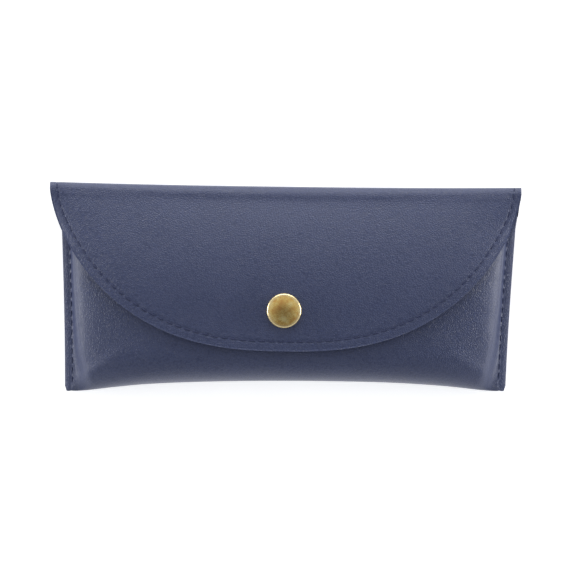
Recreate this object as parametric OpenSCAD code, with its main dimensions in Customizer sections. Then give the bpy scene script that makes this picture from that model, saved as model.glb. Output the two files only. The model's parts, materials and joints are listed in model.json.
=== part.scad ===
// Soft pouch glasses case, lying on its back: X is the width, +Y runs from the
// bottom fold to the flap fold, and +Z is the front, where the flap closes.
// The origin is the middle of the footprint, on the surface that the back rests on.

/* [Pouch] */
// Width of the leather sheet, and so of the flap at its fold
sheet_w = 170; // [164:1:180]
// Height from the flap fold to the bottom corners
pouch_h = 74; // [70:1:80]
// Width across the bottom corners, drawn in by the filled shape
base_w = 159; // [157:0.5:162]
// Width across the side seams near the mouth
mouth_w = 164; // [162:0.5:166]
// How far the middle of the bottom fold is drawn up above the corners
base_rise = 3.5; // [2:0.5:4]
// Height of the belly of the front above the seam plane
front_rise = 15.5; // [14:0.5:17]
// Depth of the back below the seam plane
back_drop = 4.5; // [4:0.25:5]
// Distance from the flap fold down to the front panel's mouth edge
mouth_drop = 10; // [9:0.5:11]

/* [Leather] */
// Thickness of the outer leather
leather_t = 1.0; // [0.8:0.05:1.1]
// Thickness of the lining
lining_t = 0.5; // [0.4:0.05:0.6]
// Width of the flat side seams at the bottom corners
seam_w = 3.9; // [3.5:0.1:4.2]

/* [Flap] */
// Length of the closed flap, from its fold to its tip
flap_len = 59.9; // [56:0.1:62]
// Outer radius of the roll where the flap folds over the mouth
roll_r = 4.5; // [4.2:0.1:4.6]
// Free height between the belly of the front and the closed flap
flap_gap = 1.2; // [1.1:0.05:1.6]

/* [Snap fastener] */
// Diameter of the cap
cap_d = 12.5; // [12:0.5:13]
// Distance from the flap fold to the snap's axis
snap_drop = 45; // [44:0.5:46]

/* [Stitching] */
// Distance from one needle hole to the next
stitch_pitch = 3.4; // [3:0.1:4]
// Thread diameter
thread_d = 0.5; // [0.4:0.05:0.6]
// Distance from the flap's edge to its stitch line
flap_inset = 3.3; // [3:0.1:3.6]
// Distance from the body's side edges to the side seams' stitch lines
side_inset = 2.7; // [2.4:0.1:2.8]

/* [Hidden] */

bond = 0.05;                     // glue line between leather and lining
crease_gap = 2.5;                // half the angle left free at each crease, in degrees
seam_z = back_drop;              // height of the side seams' middle
y_fold = pouch_h / 2;            // outermost line of the flap fold
y_base = -pouch_h / 2;           // bottom corners
y_nose = y_base + base_rise;     // middle of the bottom fold
y_mouth = y_fold - mouth_drop;   // front panel's mouth edge
roll_y = y_fold - roll_r;        // axis of the roll over the mouth
roll_z = seam_z - leather_t + roll_r;
half_sheet = sheet_w / 2;
half_seam = base_w / 2 - seam_w; // where the seams end and the filled shape begins
ramp_y = 8;                      // the front starts to thin towards the mouth here
y_tip = y_fold - flap_len;
snap_y = y_fold - snap_drop;
wall_t = leather_t + bond + lining_t;
front_z = seam_z + front_rise;           // belly of the front panel
flap_rise = front_rise + flap_gap + wall_t;
flap_z = seam_z + flap_rise;             // outer face of the closed flap
flap_in_z = flap_z - wall_t;             // lining face of the closed flap
far = 70;                                // past every part of the pouch

// ---- shape of the filled pouch -------------------------------------------------

// Rises from 0 at s = 0 to 1 at s = len, as a quarter of a superellipse
function bulge(s, len, n) = s <= 0 ? 0 : s >= len ? 1 : pow(1 - pow(1 - s / len, n), 1 / n);
// Rises from 0 to 1 with a crease at the start, for the shallow back
function swell(u) = u <= 0 ? 0 : u >= 1 ? 1 : sin(90 * u);
// Smooth step from 0 to 1
function ease(u) = u <= 0 ? 0 : u >= 1 ? 1 : u * u * (3 - 2 * u);
// Heights of the front panel's outer face over the seam plane, across and along
function front_x(x) = leather_t + (front_rise - leather_t) * bulge(half_seam - abs(x), 65, 2.2);
function front_y(y) = y < ramp_y
    ? leather_t + (front_rise - leather_t) * bulge(y - y_nose, 16, 2)
    : front_rise - (front_rise - leather_t - roll_r) * ease((y - ramp_y) / (roll_y - ramp_y));
// Depths of the back panel's outer face under the seam plane
function back_x(x) = leather_t + (back_drop - leather_t) * swell((half_seam - abs(x)) / 25);
function back_y(y) = y < ramp_y
    ? leather_t + (back_drop - leather_t) * swell((y - y_nose) / 14)
    : back_drop - (back_drop - leather_t) * ease((y - ramp_y - 4) / (roll_y - ramp_y - 4));
// Heights of the closed flap's outer face over the seam plane
flap_edge_rise = 2 * roll_r - leather_t;
function flap_x(x) = flap_edge_rise + (flap_rise - flap_edge_rise)
    * (1 - pow(max(0, abs(x) - 8) / (half_sheet - 8), 2.4));
function flap_y(y) = flap_edge_rise + (flap_rise - flap_edge_rise)
    * ease((roll_y - y) / (roll_y - ramp_y));

function spread(a, b, n) = [for (i = [0 : n]) a + (b - a) * i / n];
// Samples that crowd towards a, or towards both ends, where a profile is steep
function dense_start(a, b, n) = [for (i = [0 : n]) a + (b - a) * (1 - cos(90 * i / n))];
function dense_ends(a, b, n) = [for (i = [0 : n]) (a + b) / 2 - (b - a) / 2 * cos(180 * i / n)];
function reversed(v) = [for (i = [len(v) - 1 : -1 : 0]) v[i]];
// Moves a curve sideways by d, to its left as it runs from its first point to its last
function leftward(p, i) =
    let (v = p[min(i + 1, len(p) - 1)] - p[max(i - 1, 0)]) [-v[1], v[0]] / norm(v);
function shifted(p, d) = [for (i = [0 : len(p) - 1]) p[i] + d * leftward(p, i)];

module along_x(len) rotate([90, 0, 90]) translate([0, 0, -len / 2]) linear_extrude(len) children();
module along_y(len) rotate([90, 0, 0]) translate([0, 0, -len / 2]) linear_extrude(len) children();

// Cross-section of the pouch, shrunk by d all round. The flat seams belong to the full size only.
module section_x(d) {
    front = shifted([for (x = dense_ends(-half_seam, half_seam, 40)) [x, seam_z + front_x(x)]], -d);
    back = [for (x = spread(half_seam - d, d - half_seam, 40))
        [x, seam_z - back_x(x) + d * norm([1, back_x(x + 0.5) - back_x(x - 0.5)])]];
    if (d > 0) polygon(concat(front, back));
    else polygon(concat([[-far * 2, seam_z + leather_t]], front, [[far * 2, seam_z + leather_t]],
        [[far * 2, seam_z - leather_t]], back, [[-far * 2, seam_z - leather_t]]));
}
// Section from the bottom fold to past the mouth, shrunk in the same way
module section_y(d) {
    ys = concat(dense_start(y_nose, y_nose + 16, 16), spread(ramp_y - 6, roll_y, 22));
    front = shifted([for (y = ys) [y, seam_z + front_y(y)]], -d);
    back = [for (y = spread(roll_y, y_nose + d, 40))
        [y, seam_z - back_y(y) + d * norm([1, back_y(y + 0.5) - back_y(y - 0.5)])]];
    mouth = [[far, seam_z + front_y(roll_y) - d], [far, seam_z - back_y(roll_y) + d]];
    if (d > 0) polygon(concat(front, mouth, back));
    else polygon(concat([[-far, seam_z + leather_t]], front, mouth, back,
        [[-far, seam_z - leather_t]]));
}
module filled_shape(d) intersection() {
    along_y(far * 2) section_x(d);
    along_x(far * 3) section_y(d);
}
// Outline seen from the front: tapered sides, and a bottom fold drawn up in the middle
function base_y(x) = y_nose - base_rise * pow(abs(x) / (base_w / 2), 3);
function side_x(y) = y < 20
    ? base_w / 2 + (mouth_w - base_w) / 2 * (y - y_base) / (20 - y_base)
    : mouth_w / 2 + (half_sheet - mouth_w / 2) * (y - 20) / (roll_y - 20);
module outline() polygon(concat(
    [for (x = spread(-base_w / 2, base_w / 2, 40)) [x, base_y(x)]],
    [[mouth_w / 2, 20], [half_sheet, roll_y], [-half_sheet, roll_y], [-mouth_w / 2, 20]]));

// Room for the snap's height: the front panel is pressed in round the stud, with sides at 45 degrees
dish_depth = 2.3;
dish_r = 7;
dish_floor = front_z - dish_depth;
module dish(d) {
    r = dish_r + d * tan(22.5);
    h = dish_depth + d + 1;
    translate([0, snap_y, dish_floor - d]) cylinder(h = h, r1 = r, r2 = r + h, $fn = 64);
}
module pressed_shape(d) difference() {
    filled_shape(d);
    dish(d);
}

post_r = 1.45;
hole_r = 1.5;
module snap_hole() translate([0, snap_y, 0]) cylinder(h = far, r = hole_r, $fn = 32);
module front_hole() intersection() {
    snap_hole();
    translate([-5, snap_y - 5, seam_z]) cube([10, 10, far]);
}

// Part of a ring round the roll's axis. Angles run from straight down, over +Y, to straight up.
function round_roll(a, r) = [roll_y + r * sin(a), roll_z - r * cos(a)];
module roll(r_out, r_in, from, to) along_x(sheet_w) intersection() {
    translate([roll_y, roll_z]) difference() {
        circle(r_out, $fn = 96);
        circle(r_in, $fn = 96);
    }
    polygon([[roll_y, roll_z], round_roll(from, 9), round_roll((from + to) / 2, 9), round_roll(to, 9)]);
}
back_crease = 45;
front_crease = 135;

// One layer of the pouch's body, between depths a and b inside its outer face. Past the front
// panel's mouth edge, only the back goes on to the roll.
module body_layer(a, b) difference() {
    intersection() {
        pressed_shape(a);
        linear_extrude(far) outline();
    }
    pressed_shape(b);
    translate([-far * 2, y_mouth, seam_z + (a > 0 ? wall_t : 0)]) cube([far * 4, far, far]);
    front_hole();
}
module outer_pouch() color([0.24, 0.27, 0.39]) union() {
    body_layer(0, leather_t);
    roll(roll_r, roll_r - leather_t, 0, back_crease - crease_gap);
}
module lining_pouch() color([0.15, 0.16, 0.22]) union() {
    body_layer(leather_t + bond, wall_t);
    roll(roll_r - leather_t - bond, roll_r - wall_t, 0, back_crease - crease_gap);
}

// ---- fold strip between the two creases ----------------------------------------

module outer_fold() color([0.26, 0.29, 0.41])
    roll(roll_r, roll_r - leather_t, back_crease + crease_gap, front_crease - crease_gap);
module lining_fold() color([0.15, 0.16, 0.22])
    roll(roll_r - leather_t - bond, roll_r - wall_t, back_crease + crease_gap, front_crease - crease_gap);

// ---- flap ----------------------------------------------------------------------

// Right half of the flap's edge as a Bezier curve, from the fold (t = 0) to the tip (t = 1)
edge_points = [[half_sheet, y_fold], [half_sheet, y_fold - 17], [66.5, y_tip], [0, y_tip]];
function edge(t) = pow(1 - t, 3) * edge_points[0] + 3 * t * pow(1 - t, 2) * edge_points[1]
    + 3 * t * t * (1 - t) * edge_points[2] + pow(t, 3) * edge_points[3];
function edge_slope(t) = 3 * pow(1 - t, 2) * (edge_points[1] - edge_points[0])
    + 6 * t * (1 - t) * (edge_points[2] - edge_points[1])
    + 3 * t * t * (edge_points[3] - edge_points[2]);
function inward(t) = let (v = edge_slope(t)) [v[1], -v[0]] / norm(v);
function mirrored(v) = [-v[0], v[1]];
module flap_outline() {
    right = [for (t = spread(0, 1, 32)) edge(t)];
    polygon(concat(right, [for (p = reversed(right)) mirrored(p)]));
}
module under_flap(d) intersection() {
    along_y(far * 2) polygon(concat([[half_sheet + 5, seam_z], [-half_sheet - 5, seam_z]],
        shifted([for (x = spread(-half_sheet - 5, half_sheet + 5, 45)) [x, seam_z + flap_x(x)]], -d)));
    along_x(far * 3) polygon(concat([[far, seam_z], [-far, seam_z], [-far, flap_z - d]],
        shifted([for (y = spread(ramp_y, roll_y, 32)) [y, seam_z + flap_y(y)]], -d),
        [[far, seam_z + flap_y(roll_y) - d]]));
}
module flap_layer(a, b) difference() {
    intersection() {
        under_flap(a);
        linear_extrude(far) flap_outline();
        translate([-far * 2, roll_y - far * 2, seam_z]) cube([far * 4, far * 2, far]);
    }
    under_flap(b);
    snap_hole();
}
module outer_flap() color([0.27, 0.30, 0.42]) union() {
    flap_layer(0, leather_t);
    roll(roll_r, roll_r - leather_t, front_crease + crease_gap, 180);
}
module lining_flap() color([0.15, 0.16, 0.22]) union() {
    flap_layer(leather_t + bond, wall_t);
    roll(roll_r - leather_t - bond, roll_r - wall_t, front_crease + crease_gap, 180);
}

// ---- stitching -----------------------------------------------------------------

stitch_share = 0.8; // length of a stitch, as a share of the pitch
stitch_h = thread_d / 2 + 0.05;

module stitch(p, q) {
    v = q - p;
    translate(p) rotate([0, acos(v[2] / norm(v)), atan2(v[1], v[0])])
        cylinder(h = norm(v), d = thread_d, $fn = 24);
}
// Lengths along a polyline, from its first point to each of its points
function run_lengths(path, i = 0, sum = 0, out = []) = i >= len(path)
    ? out
    : let (s = i == 0 ? 0 : sum + norm(path[i] - path[i - 1]))
      run_lengths(path, i + 1, s, concat(out, [s]));
// Equal stitches along a polyline of 3-D points
module seam(path) {
    at = run_lengths(path);
    xs = [for (i = [0 : len(path) - 1]) [at[i], path[i][0]]];
    ys = [for (i = [0 : len(path) - 1]) [at[i], path[i][1]]];
    zs = [for (i = [0 : len(path) - 1]) [at[i], path[i][2]]];
    total = at[len(at) - 1];
    count = floor(total / stitch_pitch);
    pitch = total / count;
    for (i = [0 : count - 1]) {
        a = (i + 0.5 - stitch_share / 2) * pitch;
        b = (i + 0.5 + stitch_share / 2) * pitch;
        stitch([lookup(a, xs), lookup(a, ys), lookup(a, zs)], [lookup(b, xs), lookup(b, ys), lookup(b, zs)]);
    }
}
thread_colour = [0.12, 0.14, 0.26];

function flap_line_right() = [for (t = spread(0.09, 1, 60)) edge(t) + flap_inset * inward(t)];
function flap_line() = concat(flap_line_right(),
    [for (p = reversed(flap_line_right())) if (p[0] > 0.01) mirrored(p)]);
function flap_height(x, y) = seam_z + min(flap_x(x), flap_y(y));
// How much longer a step through the sloping flap is straight down than square to its face
function flap_slant(x, y) = norm([1, flap_height(x + 0.5, y) - flap_height(x - 0.5, y),
    flap_height(x, y + 0.5) - flap_height(x, y - 0.5)]);
module flap_seam(depth) color(thread_colour) seam([for (p = flap_line())
    [p[0], p[1], flap_height(p[0], p[1]) - depth * flap_slant(p[0], p[1])]]);
module flap_needle_thread() flap_seam(-stitch_h);
module flap_bobbin_thread() flap_seam(wall_t + stitch_h);

function side_line(top) = [for (y = spread(y_base + 3, top, 20)) [side_x(y) - side_inset, y]];
module side_seam(side, top, height) color(thread_colour)
    seam([for (p = side_line(top)) [side * p[0], p[1], height]]);
module seam_needle_thread(side) side_seam(side, y_mouth - 1, seam_z + leather_t + stitch_h);
module seam_bobbin_thread(side) side_seam(side, roll_y - 1, seam_z - leather_t - stitch_h);

mouth_line_y = y_mouth - 3;
mouth_slope = (front_y(mouth_line_y + 0.5) - front_y(mouth_line_y - 0.5));
module mouth_seam(depth) color(thread_colour)
    seam([for (x = [-half_seam + 8, half_seam - 8])
        [x, mouth_line_y, seam_z + front_y(mouth_line_y) - depth * norm([1, mouth_slope])]]);
module mouth_needle_thread() mouth_seam(-stitch_h);
module mouth_bobbin_thread() mouth_seam(wall_t + stitch_h);

// ---- snap fastener -------------------------------------------------------------

brass = [0.78, 0.62, 0.29];
cap_h = 2.5;
rim_r = 0.85;
play = 0.05; // free space between the snap and what it clamps
module at_snap(z) translate([0, snap_y, z]) rotate_extrude($fn = 96) children();

// Arc of radius r round a centre, from one angle to another
function arc(centre, r, from, to, n) = [for (a = spread(from, to, n)) centre + r * [cos(a), sin(a)]];

// Domed cap with a rolled rim. Its hollow post passes through the flap and is flared in the socket.
module snap_cap() color(brass) at_snap(flap_z + play) {
    rim = cap_d / 2 - rim_r;
    tilt = 2 * atan((cap_h - 2 * rim_r) / rim); // where the dome runs into the rim
    dome_r = rim / sin(tilt) + rim_r;
    polygon(concat(
        arc([0, cap_h - dome_r], dome_r, 90, 90 - tilt, 14),
        arc([rim, rim_r], rim_r, 84 - tilt, -90, 14),
        [[post_r, 0], [post_r, -wall_t - 0.6], [2.2, -wall_t - 0.75], [2.2, -wall_t - 0.95],
         [1.0, -wall_t - 0.95], [1.0, -0.6], [0, -0.6]]));
}
// Female half: a cup with an inward lip, and a groove that holds the ring spring
socket_h = flap_in_z - dish_floor - 0.55 - play;
module snap_socket() color(brass) at_snap(dish_floor + 0.55)
    polygon([[2.6, 0], [4.6, 0], [5, 0.35], [5, socket_h - 0.4], [4.7, socket_h], [hole_r, socket_h],
        [hole_r, socket_h - 0.45], [2.75, socket_h - 0.45], [2.75, 0.85], [2.95, 0.85], [2.95, 0.2], [2.6, 0.2]]);
// Round wire that closes behind the stud's head
module snap_ring_spring() color([0.75, 0.76, 0.78]) at_snap(dish_floor + 1.07)
    translate([2.62, 0]) circle(0.25, $fn = 32);
// Male half: a flange on the front panel and a hollow head
module snap_stud() color(brass) at_snap(dish_floor + 0.02)
    polygon([[hole_r, 0], [4.6, 0], [4.8, 0.15], [4.8, 0.35], [4.6, 0.5], [2.1, 0.5], [2.0, 0.95], [2.4, 1.45],
        [2.4, 1.7], [2.1, 2.1], [0, 2.1], [0, 1.65], [hole_r, 1.65]]);
// Rivet inside the pouch: a domed flange, and a post set in the stud's head
module snap_post() color(brass) at_snap(dish_floor - wall_t - 0.02)
    polygon([[0, -0.85], [2.5, -0.8], [4.2, -0.55], [4.75, -0.2], [4.6, 0], [post_r, 0],
        [post_r, wall_t + 1.6], [0, wall_t + 1.6]]);

// ---- nodes ---------------------------------------------------------------------

outer_pouch();
lining_pouch();
seam_needle_thread(-1);  // left_seam_needle_thread
seam_bobbin_thread(-1);  // left_seam_bobbin_thread
seam_needle_thread(1);  // right_seam_needle_thread
seam_bobbin_thread(1);  // right_seam_bobbin_thread
mouth_needle_thread();
mouth_bobbin_thread();
snap_stud();
snap_post();
outer_fold();
lining_fold();
outer_flap();
lining_flap();
flap_needle_thread();
flap_bobbin_thread();
snap_cap();
snap_socket();
snap_ring_spring();
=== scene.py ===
import json
import math

import bpy
import numpy as np
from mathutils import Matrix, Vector
from mathutils.geometry import delaunay_2d_cdt


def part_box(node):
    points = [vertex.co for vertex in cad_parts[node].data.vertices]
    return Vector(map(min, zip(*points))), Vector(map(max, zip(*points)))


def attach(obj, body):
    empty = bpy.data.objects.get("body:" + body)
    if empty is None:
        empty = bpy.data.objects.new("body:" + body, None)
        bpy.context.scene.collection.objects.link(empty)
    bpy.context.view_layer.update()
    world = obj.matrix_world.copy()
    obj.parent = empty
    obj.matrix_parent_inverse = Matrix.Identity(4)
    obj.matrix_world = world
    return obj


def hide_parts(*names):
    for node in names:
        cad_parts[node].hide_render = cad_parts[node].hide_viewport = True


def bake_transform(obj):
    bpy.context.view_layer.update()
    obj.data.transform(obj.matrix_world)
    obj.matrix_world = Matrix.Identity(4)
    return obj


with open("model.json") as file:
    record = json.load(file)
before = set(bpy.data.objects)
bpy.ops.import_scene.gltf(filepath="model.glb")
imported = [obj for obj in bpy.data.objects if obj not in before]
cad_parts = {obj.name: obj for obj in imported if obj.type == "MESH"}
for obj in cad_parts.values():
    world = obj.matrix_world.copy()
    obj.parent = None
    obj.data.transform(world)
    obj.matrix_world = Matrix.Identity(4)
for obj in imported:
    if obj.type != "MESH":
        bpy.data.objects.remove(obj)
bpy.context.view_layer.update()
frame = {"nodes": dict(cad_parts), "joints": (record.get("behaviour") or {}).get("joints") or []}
MM = 0.001

# ---- driving sizes, in millimetres, measured on the frame where it has them ----


def node_box(name):
    """Lowest and highest corner of a CAD node, in millimetres."""
    low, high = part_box(name)
    return np.array(low) / MM, np.array(high) / MM


HINGE = {j["name"]: np.array(j["pos_m"]) / MM for j in frame["joints"]}
BACK_CREASE, FRONT_CREASE = HINGE["back_fold"], HINGE["front_fold"]
HALF_SHEET = node_box("outer_fold")[1][0]
Y_FOLD = node_box("outer_fold")[1][1]
Y_BASE = node_box("outer_pouch")[0][1]
ROLL_R = (FRONT_CREASE[2] - BACK_CREASE[2]) / math.sqrt(2)
ROLL_LOW = (FRONT_CREASE[2] + BACK_CREASE[2]) / 2 - ROLL_R  # outer face of the back at the roll
LEATHER = 0.95
LINING = 0.5
GLUE = 0.04
WALL = LEATHER + GLUE + LINING     # outer face to the lining's face
HALF_SEAM = 1.0              # from a closed seam's middle to its outer face
SEAM_Z = ROLL_LOW + HALF_SEAM
FRONT_TOP = node_box("outer_pouch")[1][2]
FLAP_TOP = node_box("outer_flap")[1][2]
TIP_Y = node_box("outer_flap")[0][1] + 0.6          # the flap's tip
SNAP_LOW, SNAP_HIGH = node_box("snap_cap")
SNAP_X, SNAP_Y = (SNAP_LOW + SNAP_HIGH)[:2] / 2
DISH_FLOOR = node_box("snap_stud")[0][2] - 0.03     # just under the stud
DISH_R, DISH_SLOPE = 6.0, 4.5     # the flat spot under the snap, and the slope round it

Y_ROLL = Y_FOLD - ROLL_R     # where the back and the flap turn into the roll
Y_MOUTH = Y_FOLD - 10.0      # front panel's mouth edge
MOUTH_STITCH = 3.0           # mouth stitches, below that edge
Y_NOSE = Y_BASE + 3.5        # middle of the bottom fold
CORNER_DROP = 4.35           # how far the bottom fold drops towards its corners
DROP_STOP = 3.8              # where that drop levels off
CORNER_R = 0.8               # rounding of its corners
BASE_HALF = 79.6             # half-width at the bottom corners
MOUTH_HALF = 81.9            # half-width at MOUTH_HALF_Y
MOUTH_HALF_Y = 20.0
FLARE = 13.0                 # height above it in which the body widens to the fold
ROLL_TIGHTER = 1.3           # the roll's radius is less by this at its ends
CREST_Y = -8.0               # the filled case is thickest here, at the snap
FOLD_LOSS = 0.69             # share of the front's fill that is gone where the roll starts
FRONT_SPAN = 50.0            # the front rises this far in from its seams
BACK_SPAN = 25.0             # and the back this far
BACK_TOP = 12.0              # the back lifts off the table above this
FRONT_TURN, BACK_TURN = 16.0, 14.0     # how far the bottom fold turns into the filled panels
DROOP, DROOP_WIDTH = 1.3, 4.0     # how far the flat seams bend down, and over what width
FLAP_CORNER_Y = 34.0         # the flap's edge starts to curve in from here down
FLAP_POWERS = (2.58, 1.55)   # exponents of its superellipse, across and down
FLAP_CROWN = 8.0             # half-width of the level middle of the flap
SEAM_INSET = 2.3             # side stitches, from the body's edge
SEAM_WIDTH = 2.6             # flat seam, from the body's edge
SEAM_PULL, FLAP_PULL = 0.15, 0.18      # how deep the stitches pull the leather
FLAP_INSET = 3.2             # flap stitches, from the flap's edge
INSET_LESS = 0.28            # share by which they run nearer the edge at the fold
PITCH = 3.4                  # needle hole to needle hole
THREAD_R = 0.23
LEATHER_EDGE, LINING_EDGE = 0.28, 0.12     # radii of the cut edges
BODY_SHIFT = (0.75, 1.2)     # the body sits a little to the right of the flap, least at its bottom
CORNER_SKEW = 1.0            # its left corner hangs lower and its right one higher
SKEW_REACH = 60.0            # height over which that fades
FOLD_SAG = (-0.2, 0.55)      # how far the middle and the ends of the flap's fold lie from straight
FILL_SPACING = 0.95          # triangles in the middle of the flap
SIM_STEP, SIM_FRAMES, SIM_CAP = 3, 20, 0.6     # coarseness, length and greatest movement of the simulation
SIM_PRESSURE, SIM_SHRINK = 2.0, -0.002

# ---- small maths helpers -----------------------------------------------------


def bulge(u, n):
    """Quarter of a superellipse, from 0 to 1."""
    u = np.clip(u, 0, 1)
    return (1 - (1 - u) ** n) ** (1 / n)


def ease(u):
    u = np.clip(u, 0, 1)
    return u * u * (3 - 2 * u)


def fade(value, start, length):
    """0 up to a start, rising to 1 over a length."""
    return ease((value - start) / length)


def unit(v):
    return v / np.maximum(np.linalg.norm(v, axis=-1, keepdims=True), 1e-12)


def soft_max(a, b, k):
    """The larger of two, rounded over where they differ by less than k."""
    h = np.clip(k - np.abs(a - b), 0, None) / k
    return np.maximum(a, b) + h * h * k / 4


def lengths(points):
    """Length along a polyline at each of its points."""
    steps = np.linalg.norm(np.diff(points, axis=0), axis=1)
    return np.concatenate([[0], np.cumsum(steps)])


def along(points, at):
    """Points at given lengths along a polyline."""
    run = lengths(points)
    return np.stack([np.interp(at, run, points[:, i]) for i in range(points.shape[1])], axis=1)


def hole_pull(across, along_it, pitch, depth):
    """How far stitches pull the leather down: a shallow channel with a pit at each needle hole."""
    width, pit_length = 0.5, 0.55
    to_hole = np.abs((along_it / pitch + 0.5) % 1 - 0.5) * pitch
    channel = 0.75 * np.exp(-((across / width) ** 2))
    pit = 0.8 * np.exp(-((across / width) ** 2) - (to_hole / pit_length) ** 2)
    return depth * (channel + pit)


# ---- shape of the filled pouch -----------------------------------------------


def half_width(y):
    """Half the body's width: it tapers to the bottom corners and flares into the fold."""
    up = np.clip((y - Y_BASE) / (MOUTH_HALF_Y - Y_BASE), 0, 1)
    low = BASE_HALF + (MOUTH_HALF - BASE_HALF) * up ** 1.4
    flare = MOUTH_HALF + (HALF_SHEET - MOUTH_HALF) * fade(y, MOUTH_HALF_Y, FLARE)
    return np.where(y < MOUTH_HALF_Y, low, flare)


def inside_seam(x, y):
    """Distance in from the flat side seam."""
    return half_width(y) - SEAM_WIDTH - np.abs(x)


def bottom_y(x):
    """The bottom fold, drawn up in the middle by the filled shape."""
    drop = CORNER_DROP * np.abs(x / BASE_HALF) ** 2.4
    into_corner = np.clip(1 - (BASE_HALF - np.abs(x)) / CORNER_R, 0, 1)
    corner = CORNER_R * (1 - np.sqrt(1 - into_corner ** 2))
    return Y_NOSE + soft_max(-drop, np.full_like(drop, -DROP_STOP), 0.8) + corner


def roll_radius(x):
    """The flap folds more tightly towards its ends."""
    return ROLL_R - ROLL_TIGHTER * np.abs(x / HALF_SHEET) ** 3


def crest_fall(y):
    """0 up to the crest of the filled case, rising to 1 where the roll starts."""
    return np.clip((y - CREST_Y) / (Y_ROLL - CREST_Y), 0, 1) ** 2


def front_height(x, y):
    """Height of the front's outer face over the seams, before it turns into the bottom fold."""
    inside = inside_seam(x, y)
    # pinched towards the bottom corners, where it rises more slowly
    pinch = np.exp(-np.clip(y - Y_BASE, 0, None) / 14)
    across = bulge(inside / FRONT_SPAN, 2.8 - 1.4 * pinch) * ease((inside + 0.3) / (1.5 + 8 * pinch))
    full = FRONT_TOP - SEAM_Z - HALF_SEAM
    up = 1 - FOLD_LOSS * crest_fall(y)
    return HALF_SEAM + full * across * up


def back_height(x, y):
    """Depth of the back's outer face under the seams. Its middle lies on the table."""
    across = np.sin(math.pi / 2 * np.clip(inside_seam(x, y) / BACK_SPAN, 0, 1))
    up = 1 - fade(y, BACK_TOP, Y_ROLL - BACK_TOP)
    return HALF_SEAM + (SEAM_Z - HALF_SEAM) * across * up


def seam_droop(x, y):
    """The flat seams bend down a little outside their stitches."""
    from_edge = np.clip(half_width(y) - np.abs(x), 0, DROOP_WIDTH)
    return DROOP * (1 - from_edge / DROOP_WIDTH) ** 1.5 * (1 - fade(y, MOUTH_HALF_Y, 10))


def corner_ridge(x, y, side, height):
    """A ridge that runs up into the front from a bottom corner."""
    foot_x, foot_up, angle, rise, length, width = 77, 2, 0.6, 5, 14, 2.4
    right, up = x * side - foot_x, y - Y_BASE - foot_up
    t = -right * math.cos(angle) + up * math.sin(angle)
    off = right * math.sin(angle) + up * math.cos(angle)
    reach = fade(t, 0, rise) * (1 - fade(t, length, length))
    return height * reach * np.exp(-((off / width) ** 2))


def unevenness(x, y):
    """Small dents and puckers of a filled case, more of them beside the side seams."""
    pucker_height, dent_height = 0.16, 0.1
    inside = np.clip(inside_seam(x, y), 0, None)
    side = np.where(x < 0, 0.7, -1.9)
    pucker = np.sin(y / 1.9 + side) + np.sin(y / 3.1 + 2 * side) + 0.8 * np.sin(y / 5.3 + 3 * side)
    beside_seam = pucker_height * pucker * np.exp(-inside / 4) * ease(inside / 2)
    dents = np.sin(x / 8.7 + 0.5) * np.sin(y / 6.9 + 1) + 0.7 * np.sin(x / 5.1 + y / 7.7)
    return beside_seam + dent_height * dents * ease(inside / 12)


def fold_length(height, full_height, turn):
    """How far from the bottom fold the panel turns: a tight fold at the seams, a wide one between."""
    filled = np.clip((height - HALF_SEAM) / (full_height - HALF_SEAM), 0, 1)
    return HALF_SEAM + (turn - HALF_SEAM) * filled ** 0.8


def front_z(x, y):
    """Outer face of the front panel, down to the nose of the bottom fold."""
    s = y - bottom_y(x)
    h = front_height(x, y)
    length = fold_length(h, FRONT_TOP - SEAM_Z, FRONT_TURN)
    z = SEAM_Z + h * bulge(s / length, 2.7) - seam_droop(x, y)
    z = z + corner_ridge(x, y, -1, 0.45) + corner_ridge(x, y, 1, 0.25) + unevenness(x, y) * ease(s / 6)
    dish = 1 - fade(np.hypot(x - SNAP_X, y - SNAP_Y), DISH_R, DISH_SLOPE)
    return z + (DISH_FLOOR - z) * dish


def back_z(x, y):
    """Outer face of the back panel, down to the nose of the bottom fold."""
    s = y - bottom_y(x)
    h = back_height(x, y)
    length = fold_length(h, SEAM_Z, BACK_TURN)
    return SEAM_Z - h * bulge(s / length, 2) - seam_droop(x, y)


def flap_z(x, y):
    """Outer face of the closed flap. It spans from the roll to the belly and rests on the panel."""
    edge = ROLL_LOW + 2 * roll_radius(x)
    across = 1 - (np.maximum(0, np.abs(x) - FLAP_CROWN) / (HALF_SHEET - FLAP_CROWN)) ** 2.4
    from_roll = (Y_ROLL - y) / (Y_ROLL - CREST_Y)
    # just past the roll it rises only half as much
    hollow = 1 - 0.5 * np.exp(-np.clip(from_roll, 0, None) / 0.07)
    z = edge + (FLAP_TOP - edge) * across * (1 - crest_fall(y)) * hollow
    # its ends are stiff enough to stand out a little past the belly that carries them
    stand_out, clearance = 4, 0.25
    panel_x = np.sign(x) * np.maximum(np.abs(x) - stand_out, 0)
    panel = np.minimum(front_z(panel_x, y), FRONT_TOP)
    return soft_max(z, panel + WALL + clearance, 1.2)


def lie(points):
    """The real one isn't quite symmetrical: moves points the way the case lies."""
    p = np.array(points, float)
    x, y = p[..., 0].copy(), p[..., 1].copy()
    up = np.clip((y - Y_BASE) / (MOUTH_HALF_Y - Y_BASE), 0, 1)
    shift = BODY_SHIFT[0] + (BODY_SHIFT[1] - BODY_SHIFT[0]) * up
    # the shift and the skew fade out before the fold, so the flap keeps its place
    p[..., 0] = x + shift * (1 - fade(y, MOUTH_HALF_Y, FLARE))
    p[..., 1] = y + CORNER_SKEW * (x / BASE_HALF) * (1 - fade(y, Y_BASE, SKEW_REACH))
    return p


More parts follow.
